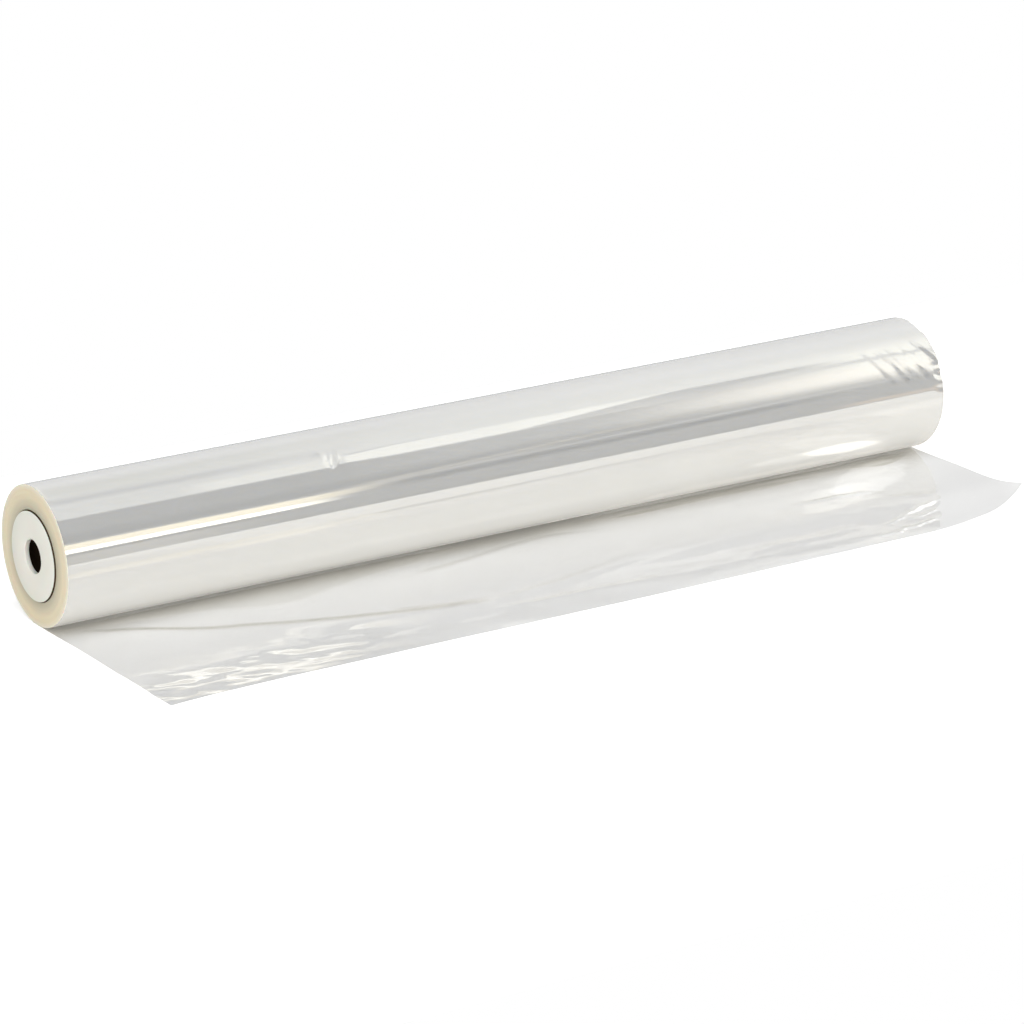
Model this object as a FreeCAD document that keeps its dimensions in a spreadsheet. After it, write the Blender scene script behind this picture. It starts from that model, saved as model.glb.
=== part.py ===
"""A roll of clear packing film on a card core, with a moulded plug in each end.

X runs along the roll, from the front plug to the rear plug. The loose end of the
film leaves the underside of the roll and lies flat towards -Y. +Z is up, and
z = 0 is the surface that the roll lies on. The origin is at the middle of the
base of the whole object. Lengths are in millimetres, angles in degrees.
"""

import FreeCAD
import Part
import math
import os
import Sketcher

SIZES = (
    # the wound film
    ("film_width", 500, "cut width of the film, which is the length of the winding"),
    ("film_diameter", 67.3, "outer diameter of the winding"),
    ("flat_spot_width", 8, "flat where the soft winding bears on the ground"),
    ("winding_clearance", 0.05, "between the innermost turn and the core"),
    ("turn_line_count", 3, "fine rings left by uneven turns on each end face"),
    ("turn_line_width", 0.4, "width of one ring"),
    ("turn_line_depth", 0.15, "depth of one ring"),
    # the loose end of the film
    ("web_thickness", 0.4, "the film is far thinner, this is what a solid can hold"),
    ("web_flat_strip", 28, "from the roll's axis line to where the web starts to ripple"),
    ("web_reach", 126.5, "from the roll's axis line to the cut end"),
    ("cut_drift", 2.7, "how much further the cut end reaches at the front corner"),
    ("cut_drift_length", 60, "length of film over which it drifts"),
    ("corner_trim", 28, "how much the cut end falls back at the rear corner"),
    ("corner_trim_length", 83, "length of film over which it falls back"),
    ("curl_side", 71, "from the axis line to the curl, along the rear edge"),
    ("curl_end", 41, "from the rear edge to the curl, along the cut end"),
    ("curl_height", 4.2, "lift of the rear corner"),
    ("curl_power", 1.9, "how suddenly the curl lifts"),
    ("ripple_height", 0.8, "tallest ripple in the web"),
    ("ripple_spacing", 46, "from crest to crest, away from the roll"),
    # dents in the outer turns
    ("pucker_place", 147, "from the front end face"),
    ("pucker_angle", 38, "from the top of the roll towards the web"),
    ("pucker_length", 16, "along the roll"),
    ("pucker_breadth", 9, "round the roll"),
    ("pucker_depth", 0.5, "into the winding"),
    ("crumple_count", 5, "dents at the rear edge of the outer turns"),
    ("crumple_first_angle", 34, "from the top of the roll towards the web"),
    ("crumple_last_angle", 78, "from the top of the roll towards the web"),
    ("crumple_length", 30, "along the roll"),
    ("crumple_breadth", 9, "round the roll"),
    ("crumple_depth", 0.9, "into the winding"),
    # the card core
    ("core_bore", 38.1, "inside diameter of the core"),
    ("core_wall", 2.55, "thickness of the card"),
    # the end plugs
    ("plate_thickness", 2.4, "plate of the plug, inside the core"),
    ("lip_thickness", 0.25, "rim of the plate, which lies on the end of the card"),
    ("flange_proud", 0.75, "how far the plate stands out of the winding"),
    ("flange_clearance", 0.3, "between the plate's rim and the winding"),
    ("flange_edge", 0.12, "bevel on the plate's rim"),
    ("spindle_hole", 16.3, "diameter of the hole for a spindle"),
    ("spigot_length", 4, "how far the plug reaches into the core"),
    ("spigot_wall", 1.8, "wall of the spigot"),
    ("spigot_clearance", 0.1, "between the spigot and the core"),
    ("spigot_lead", 0.7, "bevel that leads the spigot into the core"),
    ("nib_radius", 0.6, "trimmed moulding gate on the plate's rim"),
    ("nib_gap", 0.1, "between the gate and the winding"),
    ("nib_angle", 25, "below level, round the plate"),
)

DENT_HEIGHT = 5.0  # half-height of the rounded tool that a dent is pressed with

FILM_RADIUS = "Sizes.film_diameter / 2"
CORE_RADIUS = "(Sizes.core_bore / 2 + Sizes.core_wall)"
FILM_BORE_RADIUS = f"({CORE_RADIUS} + Sizes.winding_clearance)"
FLANGE_RADIUS = f"({FILM_BORE_RADIUS} - Sizes.flange_clearance)"
SPIGOT_RADIUS = "(Sizes.core_bore / 2 - Sizes.spigot_clearance)"
CORE_PROUD = "(Sizes.flange_proud - Sizes.lip_thickness)"
AXIS_HEIGHT = f"sqrt(({FILM_RADIUS})^2 - (Sizes.flat_spot_width / 2)^2)"
AXIS_Y = f"((Sizes.web_reach + Sizes.cut_drift - {FILM_RADIUS}) / 2)"


def make_sheet(doc):
    """The spreadsheet of driving sizes, one row each."""
    sheet = doc.addObject("Spreadsheet::Sheet", "Sizes")
    for row, (alias, value, note) in enumerate(SIZES, start=1):
        sheet.set(f"A{row}", alias)
        sheet.set(f"B{row}", str(value))
        sheet.setAlias(f"B{row}", alias)
        sheet.set(f"C{row}", note)
    doc.recompute()
    return sheet


def value_of(obj, expression):
    """The number that an expression on the sheet gives."""
    return float(obj.evalExpression(expression))


def set_expressions(obj, **expressions):
    """Binds properties to the sheet, a double underscore standing for a dot."""
    for name, expression in expressions.items():
        obj.setExpression(name.replace("__", "."), expression)


def place_on_axis(obj, x="0"):
    """Moves a sub-part that is modelled round its own X axis to the roll's axis."""
    set_expressions(
        obj, Placement__Base__x=x, Placement__Base__y=AXIS_Y, Placement__Base__z=AXIS_HEIGHT
    )


def new_body(doc, name):
    body = doc.addObject("PartDesign::Body", name)
    body.Label = name
    return body


def new_sketch(body, name, role):
    """A sketch on one of the body's own origin planes."""
    sketch = body.newObject("Sketcher::SketchObject", name)
    plane = next(f for f in body.Origin.OriginFeatures if f.Role == role)
    sketch.AttachmentSupport = [(plane, "")]
    sketch.MapMode = "FlatFace"
    return sketch


def constrain(sketch, name, expression, kind, *where):
    """A driving dimension, named and bound to the sheet."""
    number = value_of(sketch, expression)
    index = sketch.addConstraint(Sketcher.Constraint(kind, *where, number))
    sketch.renameConstraint(index, name)
    sketch.setExpression(f"Constraints.{name}", expression)


def add_circle(sketch, name, radius):
    """A circle round the sketch's origin."""
    start = Part.Circle(FreeCAD.Vector(), FreeCAD.Vector(0, 0, 1), value_of(sketch, radius))
    circle = sketch.addGeometry(start)
    sketch.addConstraint(Sketcher.Constraint("Coincident", circle, 3, -1, 1))
    constrain(sketch, name, radius, "Radius", circle)
    return circle


def add_outline(sketch, name, corners):
    """A closed outline of straight sides, each corner set out from the origin."""
    points = [
        FreeCAD.Vector(value_of(sketch, across), value_of(sketch, up), 0)
        for across, up in corners
    ]
    sides = [
        sketch.addGeometry(Part.LineSegment(point, points[(i + 1) % len(points)]))
        for i, point in enumerate(points)
    ]
    for i, side in enumerate(sides):
        following = sides[(i + 1) % len(sides)]
        sketch.addConstraint(Sketcher.Constraint("Coincident", side, 2, following, 1))
    for i, (side, (across, up)) in enumerate(zip(sides, corners)):
        if across == "0":
            sketch.addConstraint(Sketcher.Constraint("PointOnObject", side, 1, -2))
        else:
            constrain(sketch, f"{name}_across_{i}", across, "DistanceX", -1, 1, side, 1)
        constrain(sketch, f"{name}_up_{i}", up, "DistanceY", -1, 1, side, 1)


def axis_of(sketch):
    """The sketch's own horizontal axis, which lies along the roll."""
    return (sketch, ["H_Axis"])


# ---------------------------------------------------------------- the film


def add_winding(doc):
    """All the turns together: a thick tube with a flat spot underneath."""
    body = new_body(doc, "winding")
    section = new_sketch(body, "winding_section", "YZ_Plane")
    radius = value_of(section, FILM_RADIUS)
    half_flat = value_of(section, "Sizes.flat_spot_width / 2")
    bottom = value_of(section, AXIS_HEIGHT)
    half_angle = math.asin(half_flat / radius)
    circle = Part.Circle(FreeCAD.Vector(), FreeCAD.Vector(0, 0, 1), radius)
    outside = section.addGeometry(
        Part.ArcOfCircle(circle, half_angle - math.pi / 2, 3 * math.pi / 2 - half_angle)
    )
    flat = section.addGeometry(
        Part.LineSegment(
            FreeCAD.Vector(-half_flat, -bottom, 0), FreeCAD.Vector(half_flat, -bottom, 0)
        )
    )
    section.addConstraint(Sketcher.Constraint("Coincident", outside, 3, -1, 1))
    section.addConstraint(Sketcher.Constraint("Coincident", outside, 2, flat, 1))
    section.addConstraint(Sketcher.Constraint("Coincident", flat, 2, outside, 1))
    section.addConstraint(Sketcher.Constraint("Horizontal", flat))
    constrain(section, "outer_radius", FILM_RADIUS, "Radius", outside)
    constrain(section, "flat_spot", "Sizes.flat_spot_width", "DistanceX", flat, 1, flat, 2)
    add_circle(section, "bore_radius", FILM_BORE_RADIUS)

    turns = body.newObject("PartDesign::Pad", "turns")
    turns.Profile = section
    turns.SideType = "Symmetric"
    set_expressions(turns, Length="Sizes.film_width")
    doc.recompute()
    plain_volume = turns.Shape.Volume

    lines = new_sketch(body, "turn_line_section", "XZ_Plane")
    face = "Sizes.film_width / 2"
    floor = f"{face} - Sizes.turn_line_depth"
    count = round(value_of(lines, "Sizes.turn_line_count"))
    for i in range(count):
        share = f"{i + 1} / (Sizes.turn_line_count + 1)"
        middle = f"{FILM_BORE_RADIUS} + ({FILM_RADIUS} - {FILM_BORE_RADIUS}) * {share}"
        add_outline(
            lines,
            f"ring_{i}",
            (
                (face, f"{middle} - Sizes.turn_line_width / 2"),
                (floor, middle),
                (face, f"{middle} + Sizes.turn_line_width / 2"),
            ),
        )
    rings = body.newObject("PartDesign::Groove", "turn_lines")
    rings.Profile = lines
    rings.ReferenceAxis = axis_of(lines)
    rings.Angle = 360
    doc.recompute()
    if rings.Shape.Volume >= plain_volume:
        raise RuntimeError("the turn lines cut nothing")

    both_ends = body.newObject("PartDesign::Mirrored", "turn_lines_both_ends")
    both_ends.Originals = [rings]
    middle_plane = next(f for f in body.Origin.OriginFeatures if f.Role == "YZ_Plane")
    both_ends.MirrorPlane = (middle_plane, [""])
    body.Tip = both_ends
    return body


def add_web_strip(doc):
    """The first stretch of the web, flat on the ground from the flat spot outwards."""
    strip = doc.addObject("Part::Box", "web_strip")
    set_expressions(
        strip,
        Length="Sizes.film_width",
        Width="Sizes.web_flat_strip + Sizes.flat_spot_width / 2",
        Height="Sizes.web_thickness",
        Placement__Base__x="-Sizes.film_width / 2",
        Placement__Base__y="-Sizes.web_flat_strip",
        Placement__Base__z=f"-{AXIS_HEIGHT}",
    )
    return strip


def cut_reach(size, along):
    """How far the cut end lies from the axis line, at a place along the film."""
    drift = max(0.0, 1 - along / size["cut_drift_length"])
    trim_start = size["film_width"] - size["corner_trim_length"]
    trim = max(0.0, (along - trim_start) / size["corner_trim_length"])
    return size["web_reach"] + size["cut_drift"] * drift**2 - size["corner_trim"] * trim**2


def curl_lift(size, along, out):
    """Height of the curled rear corner over the ground."""
    run = size["web_reach"] - size["curl_side"]
    length = math.hypot(run, size["curl_end"])
    from_rear = size["film_width"] - along

    def beyond_fold(from_rear, out):
        """Distance past the line where the curl starts."""
        return ((out - size["curl_side"]) * size["curl_end"] - from_rear * run) / length

    corner = beyond_fold(0.0, size["web_reach"] - size["corner_trim"])
    share = max(0.0, beyond_fold(from_rear, out)) / corner
    return size["curl_height"] * share ** size["curl_power"]


def ripple_lift(size, along, out):
    """Height of the slack ripples, which run nearly along the roll."""
    place = along / size["film_width"]
    crests = (out - size["web_flat_strip"]) / size["ripple_spacing"]
    rise = min(1.0, crests)
    slant = 0.45 * math.sin(math.pi * place) + 0.2 * place
    wave = 0.55 - 0.45 * math.cos(2 * math.pi * (crests + slant))
    fade = 0.65 + 0.35 * math.sin(3 * math.pi * place + 0.7)
    return size["ripple_height"] * rise * wave * fade


def add_web_sheet(doc, sheet):
    """The rippled rest of the web, up to the cut end, with its curled corner."""
    size = {alias: float(sheet.get(alias)) for alias, _, _ in SIZES}
    ground = -value_of(sheet, AXIS_HEIGHT)
    columns = 33
    rows = 13
    grid = []
    for i in range(columns):
        along = size["film_width"] * i / (columns - 1)
        far = cut_reach(size, along)
        line = []
        for j in range(rows):
            out = size["web_flat_strip"] + (far - size["web_flat_strip"]) * j / (rows - 1)
            lift = ripple_lift(size, along, out) + curl_lift(size, along, out)
            line.append(FreeCAD.Vector(along - size["film_width"] / 2, -out, ground + lift))
        grid.append(line)
    surface = Part.BSplineSurface()
    surface.interpolate(grid)
    underside = doc.addObject("Part::Feature", "web_underside")
    underside.Shape = surface.toShape()
    rest = doc.addObject("Part::Extrusion", "web_sheet")
    rest.Base = underside
    rest.DirMode = "Custom"
    rest.Dir = FreeCAD.Vector(0, 0, 1)
    rest.Solid = True
    set_expressions(rest, LengthFwd="Sizes.web_thickness")
    return rest


def add_dent(doc, name, place, angle, length, breadth, depth):
    """A rounded dent in the outer turns, at an angle from the top of the roll."""
    dent = doc.addObject("Part::Ellipsoid", name)
    dent.Radius1 = DENT_HEIGHT
    # the rounded tool is wider than the dent that it leaves, by this ratio
    spread = f"sqrt(1 - (1 - {depth} / {DENT_HEIGHT})^2)"
    reach = f"({FILM_RADIUS} + {DENT_HEIGHT} - {depth})"
    dent.Placement.Rotation = FreeCAD.Rotation(FreeCAD.Vector(1, 0, 0), 1)
    set_expressions(
        dent,
        Radius2=f"{length} / 2 / {spread}",
        Radius3=f"{breadth} / 2 / {spread}",
        Placement__Base__x=f"{place} - Sizes.film_width / 2",
        Placement__Base__y=f"-{reach} * sin({angle})",
        Placement__Base__z=f"{reach} * cos({angle})",
        Placement__Rotation__Angle=angle,
    )
    return dent


def add_dents(doc, sheet):
    """One pucker near the front, and the crumpled rear edge of the outer turns."""
    dents = [
        add_dent(
            doc,
            "pucker",
            "Sizes.pucker_place",
            "Sizes.pucker_angle",
            "Sizes.pucker_length",
            "Sizes.pucker_breadth",
            "Sizes.pucker_depth",
        )
    ]
    count = round(value_of(sheet, "Sizes.crumple_count"))
    for i in range(count):
        share = i / max(1, count - 1)
        uneven = 1 if i % 2 else 0.6
        dents.append(
            add_dent(
                doc,
                f"crumple_{i + 1}",
                "Sizes.film_width",
                "(Sizes.crumple_first_angle"
                f" + (Sizes.crumple_last_angle - Sizes.crumple_first_angle) * {share})",
                f"(Sizes.crumple_length * {uneven})",
                "Sizes.crumple_breadth",
                f"(Sizes.crumple_depth * {uneven})",
            )
        )
    return dents


def add_film(doc, sheet):
    """The film is one piece: its turns, and the web that has come off the roll."""
    whole = doc.addObject("Part::MultiFuse", "film_undented")
    whole.Shapes = [add_winding(doc), add_web_strip(doc), add_web_sheet(doc, sheet)]
    pressed = doc.addObject("Part::MultiFuse", "film_dents")
    pressed.Shapes = add_dents(doc, sheet)
    film = doc.addObject("Part::Cut", "film")
    film.Base = whole
    film.Tool = pressed
    film.Label = "film"
    place_on_axis(film)
    return film


# ---------------------------------------------------------------- the core


def add_core_tube(doc):
    """A plain card tube that stands out of the film a little at each end, up to the rim of the plug."""
    tube = new_body(doc, "core_tube")
    section = new_sketch(tube, "tube_section", "YZ_Plane")
    add_circle(section, "outer_radius", CORE_RADIUS)
    add_circle(section, "inner_radius", "Sizes.core_bore / 2")
    wall = tube.newObject("PartDesign::Pad", "tube_wall")
    wall.Profile = section
    wall.SideType = "Symmetric"
    set_expressions(wall, Length=f"Sizes.film_width + 2 * {CORE_PROUD}")
    place_on_axis(tube)
    return tube


# ---------------------------------------------------------------- the end plugs


def add_end_plug(doc, name, end):
    """One moulded plug. Its outer face is at x = 0 and its spigot runs towards +X."""
    plug = new_body(doc, name)
    profile = new_sketch(plug, f"{name}_profile", "XY_Plane")
    hole = "Sizes.spindle_hole / 2"
    lip = "Sizes.lip_thickness"
    plate = "Sizes.plate_thickness"
    tip = "Sizes.plate_thickness + Sizes.spigot_length"
    inside = f"{SPIGOT_RADIUS} - Sizes.spigot_wall"
    add_outline(
        profile,
        "wall",
        (
            ("0", hole),
            ("0", f"{FLANGE_RADIUS} - Sizes.flange_edge"),
            ("Sizes.flange_edge", FLANGE_RADIUS),
            (lip, FLANGE_RADIUS),
            (lip, SPIGOT_RADIUS),
            (f"{tip} - Sizes.spigot_lead", SPIGOT_RADIUS),
            (tip, f"{SPIGOT_RADIUS} - Sizes.spigot_lead"),
            (tip, inside),
            (plate, inside),
            (plate, hole),
        ),
    )
    turned = plug.newObject("PartDesign::Revolution", f"{name}_wall")
    turned.Profile = profile
    turned.ReferenceAxis = axis_of(profile)
    turned.Angle = 360
    doc.recompute()

    gate = new_sketch(plug, f"{name}_gate_section", "YZ_Plane")
    middle = f"({FILM_BORE_RADIUS} - Sizes.nib_gap - Sizes.nib_radius)"
    side = "cos(Sizes.nib_angle)"
    drop = "sin(Sizes.nib_angle)"
    centre = FreeCAD.Vector(
        -value_of(gate, f"{middle} * {side}"), -value_of(gate, f"{middle} * {drop}"), 0
    )
    radius = value_of(gate, "Sizes.nib_radius")
    nib = gate.addGeometry(Part.Circle(centre, FreeCAD.Vector(0, 0, 1), radius))
    constrain(gate, "nib_radius", "Sizes.nib_radius", "Radius", nib)
    constrain(gate, "nib_side", f"{middle} * {side}", "DistanceX", nib, 3, -1, 1)
    constrain(gate, "nib_drop", f"{middle} * {drop}", "DistanceY", nib, 3, -1, 1)
    trimmed = plug.newObject("PartDesign::Pad", f"{name}_gate")
    trimmed.Profile = gate
    set_expressions(trimmed, Length=lip)
    plug.Tip = trimmed

    outer_face = "(Sizes.film_width / 2 + Sizes.flange_proud)"
    if end == "front":
        place_on_axis(plug, f"-{outer_face}")
    else:
        plug.Placement.Rotation = FreeCAD.Rotation(FreeCAD.Vector(0, 0, 1), 180)
        place_on_axis(plug, outer_face)
    return plug


# ---------------------------------------------------------------- the whole roll


def check_document(doc, sub_parts):
    """Stops the script if anything in the document failed."""
    for obj in doc.Objects:
        if "Invalid" in obj.State or "Error" in obj.State:
            raise RuntimeError(f"{obj.Name} failed: {obj.State}")
    for part in sub_parts:
        if part.Shape.isNull() or not part.Shape.isValid():
            raise RuntimeError(f"{part.Label} has no valid shape")
        if len(part.Shape.Solids) != 1:
            raise RuntimeError(f"{part.Label} is {len(part.Shape.Solids)} solids, not one")


def main():
    doc = FreeCAD.newDocument("film_roll")
    sheet = make_sheet(doc)
    sub_parts = [
        add_film(doc, sheet),
        add_core_tube(doc),
        add_end_plug(doc, "end_plug_front", "front"),
        add_end_plug(doc, "end_plug_rear", "rear"),
    ]
    doc.recompute()
    check_document(doc, sub_parts)
    os.makedirs("parts", exist_ok=True)
    for part in sub_parts:
        part.Shape.exportStep(f"parts/{part.Label}.step")
        print(f"{part.Label}: {part.Shape.Volume:.0f} mm3, {len(part.Shape.Faces)} faces")


main()
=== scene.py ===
"""A roll of clear cellophane: the wound film, its loose end, the card core, the plugs and a plain stage."""

import collections
import functools
import math

import bmesh
import bpy
from mathutils import Matrix, Vector, noise


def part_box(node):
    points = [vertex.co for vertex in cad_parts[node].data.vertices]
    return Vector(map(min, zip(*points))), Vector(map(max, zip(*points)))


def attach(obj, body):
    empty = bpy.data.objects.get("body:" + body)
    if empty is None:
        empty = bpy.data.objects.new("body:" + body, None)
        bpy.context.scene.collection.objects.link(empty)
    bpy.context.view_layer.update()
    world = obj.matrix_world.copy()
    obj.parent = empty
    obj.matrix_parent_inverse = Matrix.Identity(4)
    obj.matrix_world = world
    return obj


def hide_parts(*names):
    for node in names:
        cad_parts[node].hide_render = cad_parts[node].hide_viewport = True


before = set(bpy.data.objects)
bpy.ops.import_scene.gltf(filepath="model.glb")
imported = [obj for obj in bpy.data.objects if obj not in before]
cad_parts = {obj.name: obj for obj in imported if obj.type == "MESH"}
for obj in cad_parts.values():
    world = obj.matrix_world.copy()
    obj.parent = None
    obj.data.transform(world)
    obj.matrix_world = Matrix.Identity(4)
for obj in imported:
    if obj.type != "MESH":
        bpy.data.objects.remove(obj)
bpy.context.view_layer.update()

bl_info = {
    "name": "Cellophane Roll",
    "version": (1, 0, 0),
    "blender": (4, 5, 0),
    "location": "3D View > Sidebar > Roll",
    "description": "Makes a roll of clear cellophane with its loose end, card core and end plugs",
    "category": "Add Mesh",
}

MM = 0.001


# ---------------------------------------------------------------- what the frame gives

film_low, film_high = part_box("film")
plug_low, plug_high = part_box("end_plug_front")
core_low, core_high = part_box("core_tube")

AXIS_Y = (plug_low.y + plug_high.y) / 2
AXIS_Z = (plug_low.z + plug_high.z) / 2
FRONT_END = film_low.x
REAR_END = film_high.x


# ---------------------------------------------------------------- what a user would change


def srgb(code):
    """A colour written as sRGB hex, as the linear values that Blender's sockets take."""
    shares = [int(code[i : i + 2], 16) / 255 for i in (1, 3, 5)]
    return tuple(s / 12.92 if s <= 0.04045 else ((s + 0.055) / 1.055) ** 2.4 for s in shares)


def length_property(name, description, default):
    """A length in metres that a user can change."""
    return bpy.props.FloatProperty(name=name, description=description, default=default, min=0, unit="LENGTH")


def colour_property(name, description, code):
    """A colour that a user can change, given as sRGB hex."""
    return bpy.props.FloatVectorProperty(
        name=name, description=description, default=srgb(code), size=3, min=0, max=1, subtype="COLOR"
    )


class CellophaneSizes(bpy.types.PropertyGroup):
    """Sizes of the roll that the frame leaves open"""

    winding_radius: length_property("Winding radius", "Outside of the wound film", film_high.y - AXIS_Y)
    bore_radius: length_property("Bore radius", "Inside of the wound film, round the core", 21.65 * MM)
    core_bore_radius: length_property("Core bore radius", "Inside of the card core", 19.05 * MM)
    core_radius: length_property("Core radius", "Outside of the card core", core_high.y - AXIS_Y)
    lip_radius: length_property("Lip radius", "Outside of a plug's lip, on the card's end", 21.35 * MM)
    lip_thickness: length_property("Lip thickness", "Along the roll", 0.25 * MM)
    plate_thickness: length_property("Plate thickness", "The part of a plug that closes the core", 2.4 * MM)
    spigot_radius: length_property("Spigot radius", "The part of a plug inside the core", 18.95 * MM)
    spigot_wall: length_property("Spigot wall", "Wall of the spigot", 1.8 * MM)
    spindle_radius: length_property("Spindle radius", "Hole through a plug", 8.15 * MM)
    film_thickness: length_property("Loose film thickness", "Drawn thicker than the real one", 0.06 * MM)
    film_reach: length_property("Loose film reach", "From under the axis to the cut edge", 126.5 * MM)


class CellophaneColours(bpy.types.PropertyGroup):
    """Colours of the roll"""

    winding: colour_property("Winding", "Many turns of clear film seen through each other", "#f1f1ee")
    winding_end: colour_property("Winding end", "The turns seen on edge", "#efe3c5")
    loose_film: colour_property("Loose film", "What one layer lets through", "#fefefe")
    # Darker than plain card board: partly painted shade for the inside of the core and the gap round the plug
    # lips.
    card: colour_property("Card", "Grey-brown board of the core", "#44301f")
    plug: colour_property("Plug", "White moulded polypropylene", "#f6f5ec")
    floor: colour_property("Floor", "Pale table under the roll", "#ececeb")


# ---------------------------------------------------------------- small helpers


def ease(value, start, end):
    """0 at start and before it, 1 at end and past it, smooth between."""
    share = min(1, max(0, (value - start) / (end - start)))
    return share * share * (3 - 2 * share)


def bell(value, middle, width):
    """1 at the middle, falling smoothly to nothing at about two widths from it."""
    return math.exp(-(((value - middle) / width) ** 2))


def waves(x, y, size, seed):
    """Smooth seeded waves of about the given size, from -1 to 1."""
    return noise.noise(Vector((x / size, y / size, seed * 7.31)))


# Settings that many nodes share.
MULTIPLY = {"operation": "MULTIPLY"}
MULTIPLY_ADD = {"operation": "MULTIPLY_ADD"}
LENGTH = {"operation": "LENGTH"}
LESS_THAN = {"operation": "LESS_THAN"}
SMOOTH = {"interpolation_type": "SMOOTHSTEP"}
MIX_COLOURS = {"data_type": "RGBA"}
MULTIPLY_COLOURS = {"data_type": "RGBA", "blend_type": "MULTIPLY"}


def add_node(tree, kind, settings=None, inputs=None):
    """One node, with its settings, and its inputs as values or as sockets to link."""
    node = tree.nodes.new(kind)
    for name, value in (settings or {}).items():
        setattr(node, name, value)
    for name, value in (inputs or {}).items():
        if isinstance(value, bpy.types.NodeSocket):
            tree.links.new(value, node.inputs[name])
        else:
            node.inputs[name].default_value = value
    return node


def new_material(name):
    """An empty node material and its tree."""
    material = bpy.data.materials.new(name)
    material.use_nodes = True
    material.node_tree.nodes.clear()
    return material, material.node_tree


def rgba(colour):
    """A colour as a socket takes it, fully opaque."""
    return (*colour, 1.0)


def about_axis(tree):
    """Places on the piece, measured from the roll's axis."""
    place = add_node(tree, "ShaderNodeTexCoord").outputs["Object"]
    shift = {"Vector": place, "Location": (0, -AXIS_Y, -AXIS_Z)}
    return add_node(tree, "ShaderNodeMapping", inputs=shift).outputs["Vector"]


def distance_from_axis(tree, place):
    """How far a place is from the roll's axis, as a socket."""
    across = add_node(tree, "ShaderNodeVectorMath", MULTIPLY, {0: place, 1: (0, 1, 1)})
    return add_node(tree, "ShaderNodeVectorMath", LENGTH, {0: across.outputs["Vector"]}).outputs["Value"]


SHARP_ANGLE = 60


def new_piece(name, bm, materials, replaced):
    """A finished mesh as a piece that stands for its CAD node."""
    mesh = bpy.data.meshes.new(name)
    bm.to_mesh(mesh)
    bm.free()
    for polygon in mesh.polygons:
        polygon.use_smooth = True
    mesh.set_sharp_from_angle(angle=math.radians(SHARP_ANGLE))
    for material in materials:
        mesh.materials.append(material)
    piece = bpy.data.objects.new(name, mesh)
    bpy.context.scene.collection.objects.link(piece)
    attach(piece, "root")
    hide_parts(replaced)
    return piece


# ---------------------------------------------------------------- turned shapes


def section(bm, corners):
    """A closed section above the axis, from corners of (place along X, radius, edge length to the next)."""
    ring = [bm.verts.new((x, AXIS_Y, AXIS_Z + radius)) for x, radius, _ in corners]
    sides = [bm.edges.new((ring[i - 1], ring[i])) for i in range(len(ring))]
    for side, (_, _, step) in zip(sides[1:] + sides[:1], corners):
        cuts = round(side.calc_length() / step) - 1 if step else 0
        if cuts > 0:
            bmesh.ops.subdivide_edges(bm, edges=[side], cuts=cuts)


def turn(bm, stages):
    """Spins the section round the axis in stages of (degrees, steps), and closes it."""
    drawn = bm.verts[:] + bm.edges[:]
    for degrees, steps in stages:
        made = bmesh.ops.spin(
            bm,
            geom=drawn,
            cent=(0, AXIS_Y, AXIS_Z),
            axis=(1, 0, 0),
            dvec=(0, 0, 0),
            angle=math.radians(degrees),
            steps=steps,
            use_merge=degrees == 360,
            use_duplicate=False,
        )
        drawn = made["geom_last"]
    bmesh.ops.remove_doubles(bm, verts=bm.verts[:], dist=1e-6)
    bmesh.ops.recalc_face_normals(bm, faces=bm.faces[:])


def from_axis(edge):
    """How far an edge's middle is from the axis."""
    middle = (edge.verts[0].co + edge.verts[1].co) / 2
    return math.hypot(middle.y - AXIS_Y, middle.z - AXIS_Z)


def round_sharp_edges(bm, radius, segments, beyond=0):
    """Rounds every edge that turns by more than 45 degrees and lies beyond this distance from the axis."""
    sharp = [e for e in bm.edges if e.is_manifold and e.calc_face_angle() > math.radians(45)]
    bmesh.ops.bevel(
        bm,
        geom=[e for e in sharp if from_axis(e) > beyond],
        offset=radius,
        segments=segments,
        profile=0.5,
        affect="EDGES",
        material=-1,
        clamp_overlap=True,
    )


# ---------------------------------------------------------------- wound film

# All of these are in millimetres and degrees, and angles are from the top of the roll towards the loose film.
# A degree is this long on the skin.
MM_PER_DEGREE = 0.587

# The small tuck in the outer turn: its place, and the stretch of the skin that is meshed finely for it.
PUCKER_ALONG, PUCKER_ANGLE = 147.0, 38.5
PUCKER_STRETCH = (-7.0, 11.0)
# The tuck's folds: depth, how far each leans, and its middle and width along the roll and round the skin.
TUCK_FOLDS = (
    (0.3, 0.35, 0, 1.3, 0.8, 3.0),
    (-0.2, 0.4, 2.4, 1.1, 0.6, 2.6),
    (0.16, 0.3, -2.8, 1.1, -0.8, 2.2),
    (-0.1, 0, -5.2, 1.3, -3.0, 1.6),
)
SWELL_HEIGHT, SWELL_LENGTH = 0.11, 34

# The knocked rear rim: how far it reaches along the roll, the angles between which there is any, and the angles
# over which its folds start and end. Folds are depth and spacing, and dents are angle, width and depth.
CRUMPLE_REACH = 46.0
CRUMPLE_SPAN = (20, 100)
CRUMPLE_START, CRUMPLE_END = (28, 40), (64, 78)
FOLDS, FINE_FOLDS = (0.26, 4.4), (0.05, 2.4)
RIM_DENTS_REACH = 7
RIM_DENTS = ((61, 3.0, 0.55), (70, 4.5, 0.95), (81, 3.0, 0.35))

# Depth and spacing of the skin's slow waves and of its lengthwise streaks.
SLOW_WAVES, STREAKS = (0.035, 70), (0.006, 4.5)
# The relief fades in between these two depths below the skin, so that the end faces stay flat.
SKIN_DEPTHS = (3, 0.6)
# The soft winding is flat below, where it bears on the loose film.
FLAT_SPOT_HEIGHT = 0.16
# How far the turns stand back and forth on an end face, and how broad each group of them is.
LEDGE_DEPTH, LEDGE_MEAN, LEDGE_BREADTH = 0.16, 0.08, 0.9
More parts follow.
